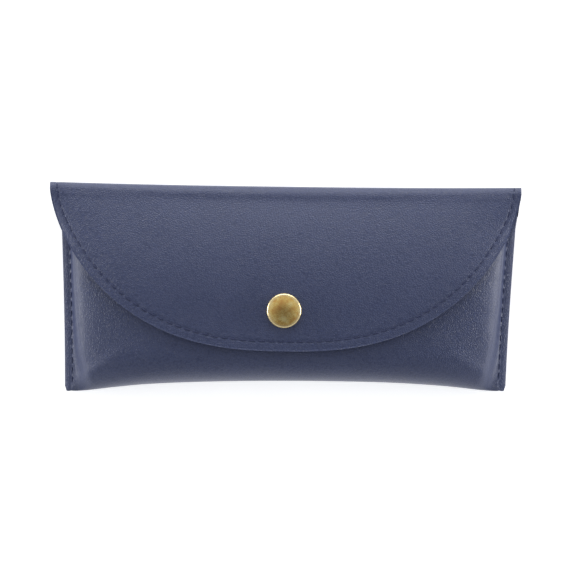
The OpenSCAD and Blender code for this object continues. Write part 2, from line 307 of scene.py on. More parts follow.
def sag(points):
    """The fold's middle lies a little lower than its ends."""
    p = np.array(points, float)
    share = fade(p[..., 1], 18, 16)
    out = np.abs(p[..., 0] / HALF_SHEET)
    p[..., 1] += share * (FOLD_SAG[0] + (FOLD_SAG[1] - FOLD_SAG[0]) * out ** 2.5)
    return p


# ---- building meshes ---------------------------------------------------------


def new_object(name, mesh):
    piece = bpy.data.objects.new(name, mesh)
    bpy.context.scene.collection.objects.link(piece)
    return piece


def make_mesh(name, points, faces, uv=None, face_slots=None, taut=None):
    """A smooth-shaded mesh object from points in millimetres."""
    mesh = bpy.data.meshes.new(name)
    mesh.from_pydata((np.asarray(points) * MM).tolist(), [], [list(map(int, f)) for f in faces])
    mesh.validate()
    if uv is not None:
        corner = np.zeros(len(mesh.loops), int)
        mesh.loops.foreach_get("vertex_index", corner)
        layer = mesh.uv_layers.new(name="sheet")
        layer.data.foreach_set("uv", np.asarray(uv)[corner].astype(np.float32).ravel())
    if face_slots is not None:
        mesh.polygons.foreach_set("material_index", np.asarray(face_slots, np.int32))
    if taut is not None:
        mesh.attributes.new("taut", "FLOAT", "POINT").data.foreach_set("value", taut.astype(np.float32))
    mesh.polygons.foreach_set("use_smooth", np.ones(len(mesh.polygons), bool))
    mesh.set_sharp_from_angle(angle=math.radians(55))
    mesh.update()
    return new_object(name, mesh)


def sheet_solid(name, outer, normals, faces, loop, rounding, thickness, uv):
    """A closed sheet: outer face, inner face and a rounded cut edge.

    loop is the boundary, anticlockwise seen from outside, and rounding the cut edge's radius at
    each of its points, 0 where the sheet ends flat against its neighbour.
    """
    count = len(outer)
    outer = outer.copy()
    inner = outer - thickness * normals
    edge, n = outer[loop], normals[loop]
    tangent = unit(np.roll(edge, -1, axis=0) - np.roll(edge, 1, axis=0))
    out = unit(np.cross(tangent, n))
    r = rounding[:, None]
    cut_off = 0.29           # share of r at the middle of the rounded edge
    outer[loop] = edge - r * out
    inner[loop] = edge - r * out - thickness * n
    rings = [
        edge - cut_off * r * out - cut_off * r * n,
        edge - r * n,
        edge - (thickness - r) * n,
        edge - cut_off * r * out - (thickness - cut_off * r) * n,
    ]
    points = np.concatenate([outer, inner] + rings)
    m = len(loop)
    ids = [np.asarray(loop)] + [2 * count + k * m + np.arange(m) for k in range(4)]
    ids.append(np.asarray(loop) + count)
    rim = []
    for a, b in zip(ids[:-1], ids[1:]):
        rim += list(zip(a, b, np.roll(b, -1), np.roll(a, -1)))
    inner_faces = [tuple(count + i for i in reversed(f)) for f in faces]
    all_uv = np.concatenate([uv, uv] + [uv[loop]] * 4)
    slots = [0] * (2 * len(faces)) + [1] * len(rim)
    # most at the side seams, less at the fold and the bottom
    steep = ease((np.hypot(normals[:, 0], 0.6 * normals[:, 1]) - 0.17) / 0.5)
    taut = np.concatenate([steep, steep] + [steep[loop]] * 4)
    return make_mesh(name, points, list(faces) + inner_faces + rim, all_uv, slots, taut)


def grid_faces(rows, columns):
    """Quads of a grid whose points are numbered row by row."""
    i = np.arange(rows * columns).reshape(rows, columns)
    quads = np.stack([i[:-1, :-1], i[1:, :-1], i[1:, 1:], i[:-1, 1:]], axis=-1)
    return [tuple(q) for q in quads.reshape(-1, 4)]


def grid_loop(rows, columns):
    """Boundary of a grid whose rows run down and columns run right, anticlockwise, and its sides."""
    i = np.arange(rows * columns).reshape(rows, columns)
    parts = [i[:-1, 0], i[-1, :-1], i[:0:-1, -1], i[0, :0:-1]]
    sides = np.concatenate([[k] * len(p) for k, p in enumerate(parts)])
    return np.concatenate(parts), sides


def grid_normals(points):
    return unit(np.cross(np.gradient(points, axis=0), np.gradient(points, axis=1)))


def grid_solid(name, points, normals, thickness, radii, uv):
    """A closed sheet from a grid. radii are for its left, last, right and first sides."""
    rows, columns = points.shape[:2]
    loop, sides = grid_loop(rows, columns)
    rounding = np.array(radii, float)[sides]
    corner = sides != np.roll(sides, 1)
    rounding[corner] = np.minimum(rounding, np.roll(rounding, 1))[corner]
    flat = points.reshape(-1, 3)
    return sheet_solid(name, flat, normals.reshape(-1, 3), grid_faces(rows, columns), loop,
                       rounding, thickness, uv.reshape(-1, 2))


# ---- the pouch's leather sheet -----------------------------------------------

FRONT_ROWS, FOLD_ROWS, BACK_FOLD_ROWS, BACK_ROWS, ROLL_ROWS = 70, 28, 18, 82, 16
ROW_BOTTOM = FRONT_ROWS + FOLD_ROWS
ROW_BACK = ROW_BOTTOM + BACK_FOLD_ROWS
ROW_ROLL = ROW_BACK + BACK_ROWS
# columns close to a side edge, crowded at the seam, with one on the stitch line
EDGE_COLUMNS = [0, 0.32, 0.62, 1.0, 1.45, 1.9, SEAM_INSET, SEAM_WIDTH, 2.85, 3.15, 3.5, 3.9, 4.4, 5.0, 5.7,
                6.5, 7.3, 8.1, 9.0]
SEAM_COLUMN = EDGE_COLUMNS.index(SEAM_INSET)
LINING_COLUMNS = 10          # the lining stops this many columns in from the leather's edge
MOUTH_COLUMNS = 16           # and the mouth's stitches this many


def pouch_columns():
    """Shares of the half-width, from -1 at the left edge to 1 at the right one."""
    far = np.linspace(9.9, BASE_HALF, 76)
    from_edge = np.concatenate([EDGE_COLUMNS, far])
    right = 1 - from_edge / BASE_HALF
    return np.concatenate([-right, right[-2::-1]])


def pouch_grid():
    """Rows from the front's mouth edge down, round the bottom fold, up the back and into the roll."""
    u = pouch_columns()
    x0 = u * BASE_HALF
    start = bottom_y(x0)
    level = start + 12       # the panels' height here sets how wide the fold is
    rows = []
    front_fold = fold_length(front_height(x0, level), FRONT_TOP - SEAM_Z, FRONT_TURN)
    back_fold = fold_length(back_height(x0, level), SEAM_Z, BACK_TURN)

    def panel_row(y, front):
        x = u * half_width(y)
        z = front_z(x, y) if front else back_z(x, y)
        return np.stack([x, y, z], axis=1)

    for k in range(FRONT_ROWS, 0, -1):
        top = start + front_fold
        rows.append(panel_row(top + (Y_MOUTH - top) * k / FRONT_ROWS, True))
    for k in range(FOLD_ROWS, 0, -1):
        turn = math.pi / 2 * k / FOLD_ROWS
        rows.append(panel_row(start + front_fold * (1 - math.cos(turn)), True))
    for k in range(0, BACK_FOLD_ROWS):
        turn = math.pi / 2 * k / BACK_FOLD_ROWS
        rows.append(panel_row(start + back_fold * (1 - math.cos(turn)), False))
    r = roll_radius(u * HALF_SHEET)
    for k in range(0, BACK_ROWS):
        top = start + back_fold
        rows.append(panel_row(top + (Y_FOLD - r - top) * k / BACK_ROWS, False))
    for k in range(0, ROLL_ROWS + 1):
        turn = math.pi / 2 * k / ROLL_ROWS
        x = u * HALF_SHEET
        y = Y_FOLD - r + r * math.sin(turn)
        z = ROLL_LOW + r - r * math.cos(turn)
        rows.append(np.stack([x, y, z], axis=1))
    return np.array(rows)


def held_places(grid):
    """1 where the sheet can't move, fading to 0: seams, mouth, roll, snap, table and under the flap."""
    rows, columns = grid.shape[:2]
    column = np.arange(columns)
    from_seam = np.minimum(column, columns - 1 - column)[None, :] * np.ones((rows, 1))
    seam = 1 - fade(from_seam, SEAM_COLUMN + 1, 5)
    mouth = (1 - fade(np.arange(rows), 0, 12))[:, None] * np.ones((1, columns))
    roll = fade(np.arange(rows), ROW_ROLL - 14, 12)[:, None] * np.ones((1, columns))
    from_snap = np.hypot(grid[..., 0] - SNAP_X, grid[..., 1] - SNAP_Y)
    snap = (1 - fade(from_snap, 10, 6)) * (grid[..., 2] > SEAM_Z)
    table = 1 - fade(grid[..., 2], 0.1, 0.8)
    covered = 0.75 * fade(grid[..., 1], TIP_Y - 2, 4) * (grid[..., 2] > SEAM_Z + 2)
    return np.maximum.reduce([seam, mouth, roll, snap, table, covered])


def spread_rows(values, places, count):
    """Cubic interpolation of rows given at some places to every row from 0 to count - 1."""
    at = np.arange(count)
    k = np.clip(np.searchsorted(places, at, side="right") - 1, 0, len(places) - 2)
    t = ((at - places[k]) / (places[k + 1] - places[k]))[:, None, None]
    before, after = np.maximum(k - 1, 0), np.minimum(k + 2, len(places) - 1)
    p0, p1, p2, p3 = values[before], values[k], values[k + 1], values[after]
    return p1 + 0.5 * t * (p2 - p0 + t * (2 * p0 - 5 * p1 + 4 * p2 - p3 + t * (3 * (p1 - p2) + p3 - p0)))


def settle(grid, held):
    """How the filled leather moves when a cloth simulation pulls it taut between its seams.

    held is 1 where the sheet is sewn, riveted, folded or lying on the table, and 0 where it is free.
    """
    rows = np.unique(np.append(np.arange(0, grid.shape[0], SIM_STEP), grid.shape[0] - 1))
    columns = np.unique(np.append(np.arange(0, grid.shape[1], SIM_STEP), grid.shape[1] - 1))
    coarse = grid[np.ix_(rows, columns)]
    count = len(rows) * len(columns)
    mesh = bpy.data.meshes.new("settling")
    quads = [list(map(int, f)) for f in grid_faces(*coarse.shape[:2])]
    mesh.from_pydata((coarse.reshape(-1, 3) * MM).tolist(), [], quads)
    cloth = new_object("settling", mesh)
    pins = cloth.vertex_groups.new(name="held")
    for i, weight in enumerate(held[np.ix_(rows, columns)].ravel()):
        pins.add([i], float(weight), "REPLACE")
    modifier = cloth.modifiers.new("cloth", "CLOTH")
    settings = modifier.settings
    settings.quality = 6
    settings.vertex_group_mass = "held"
    settings.tension_stiffness = settings.compression_stiffness = 40
    settings.shear_stiffness = 20
    settings.bending_stiffness = 30
    settings.use_pressure = True
    settings.uniform_pressure_force = SIM_PRESSURE
    settings.shrink_min = SIM_SHRINK
    settings.effector_weights.gravity = 0
    scene = bpy.context.scene
    modifier.point_cache.frame_start, modifier.point_cache.frame_end = 1, SIM_FRAMES
    for step in range(1, SIM_FRAMES + 1):
        scene.frame_set(step)
    settled = cloth.evaluated_get(bpy.context.evaluated_depsgraph_get())
    points = np.zeros(count * 3)
    settled.data.vertices.foreach_get("co", points)
    scene.frame_set(1)
    bpy.data.objects.remove(cloth)
    bpy.data.meshes.remove(mesh)
    moved = points.reshape(coarse.shape) / MM - coarse
    far = np.linalg.norm(moved, axis=2, keepdims=True)
    moved *= np.tanh(far / SIM_CAP) * SIM_CAP / np.maximum(far, 1e-6)
    for axis in (0, 1, 0, 1):
        moved = (np.roll(moved, 1, axis) + 2 * moved + np.roll(moved, -1, axis)) / 4
    across = spread_rows(moved.transpose(1, 0, 2), columns, grid.shape[1]).transpose(1, 0, 2)
    return spread_rows(across, rows, grid.shape[0]) * (1 - held)[..., None]


def sheet_uv(grid):
    """Flat coordinates of the sheet in metres, measured over its surface from the bottom fold's middle."""
    down = np.linalg.norm(np.diff(grid, axis=0), axis=2).cumsum(axis=0)
    down = np.concatenate([np.zeros((1, grid.shape[1])), down])
    right = np.linalg.norm(np.diff(grid, axis=1), axis=2).cumsum(axis=1)
    right = np.concatenate([np.zeros((grid.shape[0], 1)), right], axis=1)
    u = right - right[:, grid.shape[1] // 2, None]
    v = down[ROW_BOTTOM] - down
    return np.stack([u, v], axis=-1) * MM


def seam_column(grid, side):
    """Index of the column that the side stitches follow."""
    return SEAM_COLUMN if side < 0 else grid.shape[1] - 1 - SEAM_COLUMN


def pull_side_seams(grid, normals):
    """Stitches draw the leather down along both side seams."""
    pulled = grid.copy()
    reach = 3                # no pull farther than this from the stitches
    for side in (-1, 1):
        column = grid[:, seam_column(grid, side)]
        run = lengths(column)
        edge = grid[:, 0 if side < 0 else -1]
        across = np.linalg.norm(grid - edge[:, None], axis=2) - SEAM_INSET
        depth = hole_pull(across, run[:, None], PITCH, SEAM_PULL)
        near = np.abs(across) < reach
        half = (np.arange(grid.shape[1]) < grid.shape[1] // 2) == (side < 0)
        pulled -= (depth * near * half[None, :])[..., None] * normals
    return pulled


# ---- the flap's leather sheet ------------------------------------------------

ARC = math.pi / 2            # the flap holds the upper quarter of the roll


def flap_edge():
    """Half outline of the flap, from the fold to the tip: a superellipse."""
    t = np.linspace(0, math.pi / 2, 500)
    x = HALF_SHEET * np.cos(t) ** (2 / FLAP_POWERS[0])
    y = FLAP_CORNER_Y - (FLAP_CORNER_Y - TIP_Y) * np.sin(t) ** (2 / FLAP_POWERS[1])
    x[-1] = 0
    return np.stack([x, y], axis=1)


def flap_outline(inset):
    """The flap's outline in sheet coordinates (x, h), right to left: h is 0 where the sheet crosses
    the fold's outermost line, and falls towards the tip."""
    half = flap_edge()
    tangent = unit(np.gradient(half, axis=0))
    inset = inset * (1 - INSET_LESS * fade(half[:, 1:], 10, 20))
    half = half + inset * np.stack([tangent[:, 1], -tangent[:, 0]], axis=1)
    roll = ARC * ROLL_R
    right = np.stack([half[:, 0], half[:, 1] - Y_ROLL - roll], axis=1)
    right = right[right[:, 1] < -roll * 0.9]
    start = np.linspace([HALF_SHEET - inset[0, 0], 0], right[0], 12)[:-1]
    right = np.concatenate([start, right])
    left = right[::-1] * [-1, 1]
    return np.concatenate([right, left[1:]])


def flap_stitch_line():
    """The flap's line of stitches in sheet coordinates, and the pitch that divides it evenly."""
    line = flap_outline(FLAP_INSET)
    total = lengths(line)[-1]
    return line, total / round(total / PITCH)


def flap_surface(x, h):
    """The outer face of the flap at sheet coordinates."""
    x, h = np.asarray(x, float), np.asarray(h, float)
    r = roll_radius(x)
    turn = np.minimum(-h / ROLL_R, ARC)
    flat = np.maximum(-h - ARC * ROLL_R, 0)
    # the flat part is a little shorter where the roll is tighter
    y = Y_FOLD - r + r * np.cos(turn) - flat * (1 - (ROLL_R - r) / 60)
    z = np.where(flat > 0, flap_z(x, y), ROLL_LOW + r + r * np.sin(turn))
    return np.stack([x, y, z], axis=-1)


def flap_normals(x, h):
    """Outward normals of the flap, from small steps over its surface."""
    d = 0.05
    dx = flap_surface(x + d, h) - flap_surface(x - d, h)
    dh = flap_surface(x, h + d) - flap_surface(x, h - d)
    return unit(np.cross(dx, dh))


def fill_inside(loop_points, spacing):
    """Triangulates the inside of a closed outline with evenly spaced points."""
    low, high = loop_points.min(axis=0), loop_points.max(axis=0)
    row_gap, edge_gap = spacing * 0.87, spacing * 0.6
    grid = []
    for j, y in enumerate(np.arange(low[1] + spacing, high[1], row_gap)):
        offset = spacing / 2 * (j % 2)
        grid += [(x, y) for x in np.arange(low[0] + spacing + offset, high[0], spacing)]
    grid = np.array(grid)
    a, b = loop_points, np.roll(loop_points, -1, axis=0)
    keep = []
    step_x, step_y = (b - a).T
    slope = step_x / np.where(np.abs(step_y) < 1e-9, 1e-9, step_y)
    for p in grid:
        crosses = (a[:, 1] > p[1]) != (b[:, 1] > p[1])
        hit = p[0] < a[:, 0] + slope * (p[1] - a[:, 1])
        if np.count_nonzero(crosses & hit) % 2 and np.min(np.hypot(*(a - p).T)) > edge_gap:
            keep.append(p)
    points = np.concatenate([loop_points, np.array(keep)])
    n = len(loop_points)
    edges = [(i, (i + 1) % n) for i in range(n)]
    outline = [list(range(n))]
    verts, _, faces, _, _, _ = delaunay_2d_cdt([Vector(p) for p in points], edges, outline, 1, 1e-7)
    assert len(verts) == len(points)
    return points, [tuple(f) for f in faces]


def flap_layout():
    """Points and faces of the flap in sheet coordinates: rings along the edge, then a filled middle.

    Also returns its boundary, and where that is a flat end against the pouch's leather.
    """
    insets = np.array([0, 0.5, 1.0, 1.6, 2.1, 2.5, 2.9, FLAP_INSET, 3.7, 4.1, 4.5, 5.0, 5.7, 6.5])
    stitch_line, pitch = flap_stitch_line()
    columns = 4 * round(lengths(stitch_line)[-1] / pitch) + 1
    rings = []
    for inset in insets:
        line = flap_outline(inset)
        run = lengths(line)
        rings.append(along(line, np.linspace(0, run[-1], columns)))
    rings = np.array(rings)
    k = len(insets)
    points = rings.reshape(-1, 2)
    index = np.arange(k * columns).reshape(k, columns)
    faces = []
    for i in range(k - 1):
        for j in range(columns - 1):
            faces.append((index[i, j], index[i + 1, j], index[i + 1, j + 1], index[i, j + 1]))
    inner_ring = rings[-1][::-1]
    top = np.linspace(rings[-1][0], rings[-1][-1], round(2 * HALF_SHEET))[1:-1]
    loop = np.concatenate([inner_ring, top])
    filled, fill = fill_inside(loop, FILL_SPACING)
    lookup = np.concatenate([index[-1][::-1], len(points) + np.arange(len(filled) - columns)])
    points = np.concatenate([points, filled[columns:]])
    faces += [tuple(lookup[list(f)]) for f in fill]
    faces = [f if signed_area(points[list(f)]) > 0 else tuple(reversed(f)) for f in faces]
    top_ids = lookup[columns:columns + len(top)]
    left_side = index[:, -1][::-1]
    right_side = index[:, 0]
    boundary = np.concatenate([index[0][:0:-1], right_side, top_ids, left_side[:-1]])
    flat_end = np.ones(len(boundary), bool)
    flat_end[1:columns - 1] = False
    return points, faces, boundary[::-1], flat_end[::-1]


def signed_area(p):
    """Area of a polygon, positive when it runs anticlockwise."""
    q = np.roll(p, -1, axis=0)
    return float((p[:, 0] * q[:, 1] - p[:, 1] * q[:, 0]).sum() / 2)


def distance_and_run(points, line):
    """Distance from each point to a polyline's samples, and the length along it of the nearest."""
    run = lengths(line)
    across = np.zeros(len(points))
    at = np.zeros(len(points))
    batch = 2000
    for start in range(0, len(points), batch):
        some = slice(start, start + batch)
        d = np.hypot(points[some, None, 0] - line[None, :, 0], points[some, None, 1] - line[None, :, 1])
        best = d.argmin(axis=1)
        across[some] = d[np.arange(len(best)), best]
        at[some] = run[best]
    return across, at


# ---- thread ------------------------------------------------------------------


def thread_mesh(name, runs):
    """Stitches along runs of (path, normals, pitch): two-ply thread that dives into each needle hole."""
    sides, rings = 10, 11
    gap = 0.1                # share of the pitch left free at each end of a stitch
    sunk, dive = 0.3, 2.0    # its depth in thread radii, in the middle, and added at its ends
    ply, turns, end_taper = 0.13, 1.6, 0.45
    points, faces = [], []
    angle = np.linspace(0, 2 * math.pi, sides, endpoint=False)
    for path, normals, pitch in runs:
        run = lengths(path)
        for start in np.arange(0, run[-1] - pitch * 0.9, pitch):
            t = np.linspace(0, 1, rings)
            at = start + pitch * (gap + (1 - 2 * gap) * t)
            centre = along(path, at)
            normal = unit(np.stack([np.interp(at, run, normals[:, i]) for i in range(3)], axis=1))
            depth = THREAD_R * (sunk + dive * np.abs(2 * t - 1) ** 4)
            centre = centre - depth[:, None] * normal
            tangent = unit(np.gradient(centre, axis=0))
            side = unit(np.cross(tangent, normal))
            up = unit(np.cross(side, tangent))
            twist = 2 * angle[None, :] - 2 * math.pi * turns * t[:, None]
            taper = np.where(np.abs(2 * t - 1) > 0.99, end_taper, 1.0)[:, None]
            radius = THREAD_R * (1 + ply * np.cos(twist)) * taper
            ring = centre[:, None] + radius[..., None] * (
                np.cos(angle)[None, :, None] * side[:, None] + np.sin(angle)[None, :, None] * up[:, None])
            base = len(points)
            points += list(ring.reshape(-1, 3))
            for i in range(rings - 1):
                for j in range(sides):
                    k = (j + 1) % sides
                    faces.append((base + i * sides + j, base + (i + 1) * sides + j,
                                  base + (i + 1) * sides + k, base + i * sides + k))
            faces.append(tuple(base + j for j in range(sides)))
            faces.append(tuple(base + (rings - 1) * sides + j for j in reversed(range(sides))))
    return make_mesh(name, np.array(points), faces)


# ---- materials ---------------------------------------------------------------


def srgb(r, g, b):
    """A linear colour from 8-bit screen values."""
    def line(c):
        c /= 255
        return c / 12.92 if c <= 0.04045 else ((c + 0.055) / 1.055) ** 2.4
    return (line(r), line(g), line(b), 1.0)


class Nodes:
    """A short way to write a material's nodes."""

    def __init__(self, name):
        self.material = bpy.data.materials.new(name)
        self.material.use_nodes = True
        self.tree = self.material.node_tree
        self.shader = self.tree.nodes["Principled BSDF"]

    def add(self, kind, inputs=(), **settings):
        node = self.tree.nodes.new("ShaderNode" + kind)
        for key, value in settings.items():
            setattr(node, key, value)
        for key, value in dict(inputs).items():
            self.set(node, key, value)
        return node

    def set(self, node, key, value):
        socket = node.inputs[key]
        if isinstance(value, bpy.types.NodeSocket):
            self.tree.links.new(value, socket)
        else:
            socket.default_value = value

    def math(self, operation, a, b=0.0):
        return self.add("Math", {0: a, 1: b}, operation=operation).outputs[0]

    def mix(self, factor, a, b):
        node = self.add("Mix", data_type="RGBA")
        self.set(node, 0, factor)
        self.set(node, 6, a)
        self.set(node, 7, b)
        return node.outputs[2]

    def ramp(self, value, *stops):
        node = self.add("ValToRGB", {"Fac": value})
        elements = node.color_ramp.elements
        while len(elements) < len(stops):
            elements.new(0.5)
        for element, (place, colour) in zip(elements, stops):
            element.position = place
            element.color = colour
        return node.outputs["Color"]

    def remap(self, value, low, high, to_low, to_high):
        return self.add("MapRange", {"Value": value, "From Min": low, "From Max": high,
                                     "To Min": to_low, "To Max": to_high}).outputs["Result"]

    def noise(self, vector, scale, detail=2.0, roughness=0.5):
        return self.add("TexNoise", {"Vector": vector, "Scale": scale, "Detail": detail,
                                     "Roughness": roughness}).outputs["Fac"]

    def bump(self, height, distance, strength=1.0):
        return self.add("Bump", {"Height": height, "Distance": distance,
                                 "Strength": strength}).outputs["Normal"]

    def surface(self, **inputs):
        for key, value in inputs.items():
            self.set(self.shader, key.replace("_", " "), value)
        return self.material


GRAIN = 0.75 * MM            # width of one pebble of the leather's grain


def leather():
    """Pebbled grain, with painted shade in the valleys between the pebbles."""
    m = Nodes("navy_pebbled_leather")
    uv = m.add("UVMap", uv_map="sheet").outputs["UV"]
    wobble = m.noise(uv, 0.4 / GRAIN, 2.0)
    shift = m.add("VectorMath", {0: wobble, 1: (GRAIN, GRAIN, 0)}, operation="MULTIPLY").outputs[0]
    shifted = m.add("VectorMath", {0: uv, 1: shift}, operation="ADD").outputs[0]
    cells = m.add("TexVoronoi", {"Vector": shifted, "Scale": 1 / GRAIN, "Randomness": 0.9},
                  feature="DISTANCE_TO_EDGE").outputs["Distance"]
    pebble = m.math("SINE", m.remap(cells, 0.0, 0.4, 0.0, math.pi / 2))
    fine = m.noise(uv, 3.5 / GRAIN, 2.0)
    broad = m.noise(uv, 55.0, 3.0)
    height = m.math("ADD", pebble, m.math("MULTIPLY", fine, 0.2))
    # the grain is drawn smoother where the filled leather is steep
    taut = m.add("Attribute", attribute_name="taut").outputs["Fac"]
    grain = m.remap(taut, 0.0, 1.0, 1.0, 0.3)
    tone = m.ramp(broad, (0.3, srgb(57, 65, 98)), (0.7, srgb(60, 68, 102)))
    # painted shade: the colour darkens towards the valleys between the pebbles
    colour = m.mix(m.remap(pebble, 0.0, 0.5, 0.55, 0.0), tone, srgb(35, 41, 67))
    rough = m.remap(m.math("ADD", fine, broad), 0.7, 1.3, 0.33, 0.4)
    return m.surface(Base_Color=colour, Roughness=rough, Specular_IOR_Level=0.5,
                     Normal=m.bump(m.math("MULTIPLY", height, grain), 0.1 * MM, 1.0))


def cut_edge():
    """Raw fibres where the leather is cut."""
    m = Nodes("navy_cut_edge")
    place = m.add("TexCoord").outputs["Object"]
    fibres = m.noise(place, 2600.0, 4.0, 0.7)
    tone = m.ramp(fibres, (0.3, srgb(60, 64, 90)), (0.75, srgb(88, 92, 116)))
    return m.surface(Base_Color=tone, Roughness=0.75, Normal=m.bump(fibres, 0.08 * MM, 0.7))


def microfibre():
    """A matt, brushed lining."""
    m = Nodes("brushed_lining")
    uv = m.add("UVMap", uv_map="sheet").outputs["UV"]
    nap = m.noise(uv, 2200.0, 4.0, 0.65)
    brushed = m.noise(m.add("Mapping", {"Vector": uv, "Scale": (1.0, 0.5, 1.0)}).outputs[0], 160.0, 3.0)
    tone = m.ramp(m.math("MULTIPLY", m.math("ADD", nap, brushed), 0.5),
                  (0.35, srgb(33, 36, 52)), (0.65, srgb(45, 49, 68)))
    return m.surface(Base_Color=tone, Roughness=1.0, Sheen_Weight=0.06, Sheen_Roughness=0.6,
                     Specular_IOR_Level=0.05, Normal=m.bump(nap, 0.15 * MM, 0.8))


def thread():
    """Twisted polyester, a little darker than the leather."""
    m = Nodes("navy_thread")
    place = m.add("TexCoord").outputs["Object"]
    fibres = m.noise(place, 5200.0, 3.0, 0.6)
    tone = m.ramp(fibres, (0.3, srgb(40, 46, 75)), (0.7, srgb(52, 59, 92)))
    return m.surface(Base_Color=tone, Roughness=0.6, Sheen_Weight=0.05, Specular_IOR_Level=0.3,
                     Normal=m.bump(fibres, 0.04 * MM, 0.6))


def brass():
    """Brass plate with tarnished blotches, painted darker in the middle as a reflection of the dark space
    overhead, and with a painted highlight ring at the rim.
    """
    m = Nodes("polished_brass")
    place = m.add("TexCoord").outputs["Object"]
    blotch = m.noise(place, 330.0, 4.0, 0.6)
    scratch = m.noise(m.add("Mapping", {"Vector": place, "Scale": (1.0, 9.0, 1.0)}).outputs[0], 1500.0, 2.0)
    tarnish = m.ramp(blotch, (0.3, srgb(218, 156, 88)), (0.5, srgb(240, 202, 122)),
                     (0.7, srgb(255, 234, 166)))
    centred = m.add("VectorMath", {0: place, 1: (-SNAP_X * MM, -SNAP_Y * MM, 0)}, operation="ADD").outputs[0]
    flat = m.add("VectorMath", {0: centred, 1: (1, 1, 0)}, operation="MULTIPLY").outputs[0]
    radius = m.add("VectorMath", {0: flat}, operation="LENGTH").outputs["Value"]
    # painted reflection: darker towards the middle of the cap, for the dark space overhead
    middle = m.mix(m.remap(radius, 0.5 * MM, 3.5 * MM, 0.4, 0.0), tarnish, srgb(166, 122, 68))
    # painted highlight: a bright ring at the rim
    tone = m.mix(m.remap(radius, 5.0 * MM, 5.7 * MM, 0.0, 1.0), middle, srgb(236, 214, 164))
    rough = m.remap(m.math("ADD", blotch, m.math("MULTIPLY", scratch, 0.5)), 0.5, 1.0, 0.2, 0.32)
    dents = m.math("ADD", blotch, m.math("MULTIPLY", scratch, 0.12))
    return m.surface(Base_Color=tone, Metallic=1.0, Roughness=rough, Normal=m.bump(dents, 0.06 * MM, 0.35))


def spring_steel():
    """Drawn wire."""
    m = Nodes("spring_steel")
    place = m.add("TexCoord").outputs["Object"]
    drawn = m.noise(place, 3000.0, 2.0)
    tone = m.ramp(drawn, (0.3, srgb(150, 152, 156)), (0.7, srgb(190, 192, 196)))
    return m.surface(Base_Color=tone, Metallic=1.0, Roughness=m.remap(drawn, 0.3, 0.7, 0.25, 0.4))


def white_floor():
    """White card that glows a little, so that shadows on it stay faint."""
    m = Nodes("white_floor")
    place = m.add("TexCoord").outputs["Object"]
    tone = m.ramp(m.noise(place, 30.0), (0.3, (0.9, 0.9, 0.9, 1)), (0.7, (0.93, 0.93, 0.93, 1)))
    return m.surface(Base_Color=tone, Roughness=0.9, Emission_Color=(1, 1, 1, 1), Emission_Strength=0.6)


# ---- camera, floor and light -------------------------------------------------


def look(obj, target):
    """Points an object's -Z at a target."""
    direction = Vector(target) - obj.location
    obj.rotation_mode = "QUATERNION"
    obj.rotation_quaternion = direction.to_track_quat("-Z", "Y")


def make_camera():
    """Straight above, with the case turned a little clockwise in the picture."""
    data = bpy.data.cameras.new("camera")
    camera = bpy.data.objects.new("camera", data)
    bpy.context.scene.collection.objects.link(camera)
    level = 7 * MM           # the picture's scale is set at this height
    field = 207.4 * MM       # width of the picture there
    distance = 1.6
    data.sensor_width = 36
    data.lens = data.sensor_width * (distance - level) / field
    camera.location = (0.75 * MM, 0.7 * MM, distance)
    camera.rotation_euler = (0, 0, math.radians(0.75))
    data.clip_end = 20
    bpy.context.scene.camera = camera


def area_light(name, place, width, height, power):
    """A rectangular lamp that faces the case."""
    data = bpy.data.lights.new(name, "AREA")
    data.energy = power
    data.shape = "RECTANGLE"
    data.size, data.size_y = width, height
    lamp = bpy.data.objects.new(name, data)
    bpy.context.scene.collection.objects.link(lamp)
    lamp.location = place
    look(lamp, (0, 0, 0))


def make_world():
    """White all round, greyer above, and dark straight overhead, where the camera is."""
    world = bpy.data.worlds.new("studio")
    world.use_nodes = True
    bpy.context.scene.world = world
    nodes, links = world.node_tree.nodes, world.node_tree.links
    background = nodes["Background"]
    place = nodes.new("ShaderNodeTexCoord")
    split = nodes.new("ShaderNodeSeparateXYZ")
    links.new(place.outputs["Generated"], split.inputs[0])
    shades = nodes.new("ShaderNodeValToRGB")
    # the dark part leans towards -Y, so the bottom fold mirrors more of it and the flap's fold less
    lean = nodes.new("ShaderNodeMath")
    lean.operation = "MULTIPLY_ADD"
    lean.inputs[1].default_value = -0.28
    links.new(split.outputs["Y"], lean.inputs[0])
    links.new(split.outputs["Z"], lean.inputs[2])
    links.new(lean.outputs[0], shades.inputs["Fac"])
    stops = shades.color_ramp.elements
    for position, level in ((0.1, 1.0), (0.5, 0.66), (0.76, 0.62), (0.86, 0.55), (0.93, 0.36), (0.999, 0.2)):
        stop = stops.new(position)
        stop.color = (level * 0.97, level, level * 1.02, 1)
    # the ramp's own two stops, black and white
    stops.remove(stops[-1])
    stops.remove(stops[0])
    links.new(shades.outputs["Color"], background.inputs["Color"])
    background.inputs["Strength"].default_value = 1.0


def make_studio():
    """World, lamps and floor."""
    bpy.context.scene.view_settings.view_transform = "Standard"
    make_world()
    area_light("top_light", (0.0, 1.1, 0.34), 1.4, 0.5, 7.2)
    area_light("left_light", (-1.1, 0.1, 0.2), 0.7, 0.22, 4.7)
    area_light("right_light", (1.1, 0.1, 0.2), 0.7, 0.24, 5.2)
    half = 3.0
    mesh = bpy.data.meshes.new("floor")
    corners = [(-half, -half, 0), (half, -half, 0), (half, half, 0), (-half, half, 0)]
    mesh.from_pydata(corners, [], [(0, 1, 2, 3)])
    floor = new_object("floor", mesh)
    floor.data.materials.append(white_floor())


# ---- the pieces --------------------------------------------------------------


def give(piece, slot, *materials):
    for material in materials:
        piece.data.materials.append(material)


def bend_low(piece):
    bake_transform(piece)


def bend_high(piece):
    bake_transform(piece)


def stay_on_pouch(piece):
    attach(piece, "pouch")


def row_at(grid, first, last, y):
    """The row from first up to last whose middle lies nearest to y."""
    middle = grid[first:last, grid.shape[1] // 2, 1]
    return first + int(np.argmin(np.abs(middle - y)))


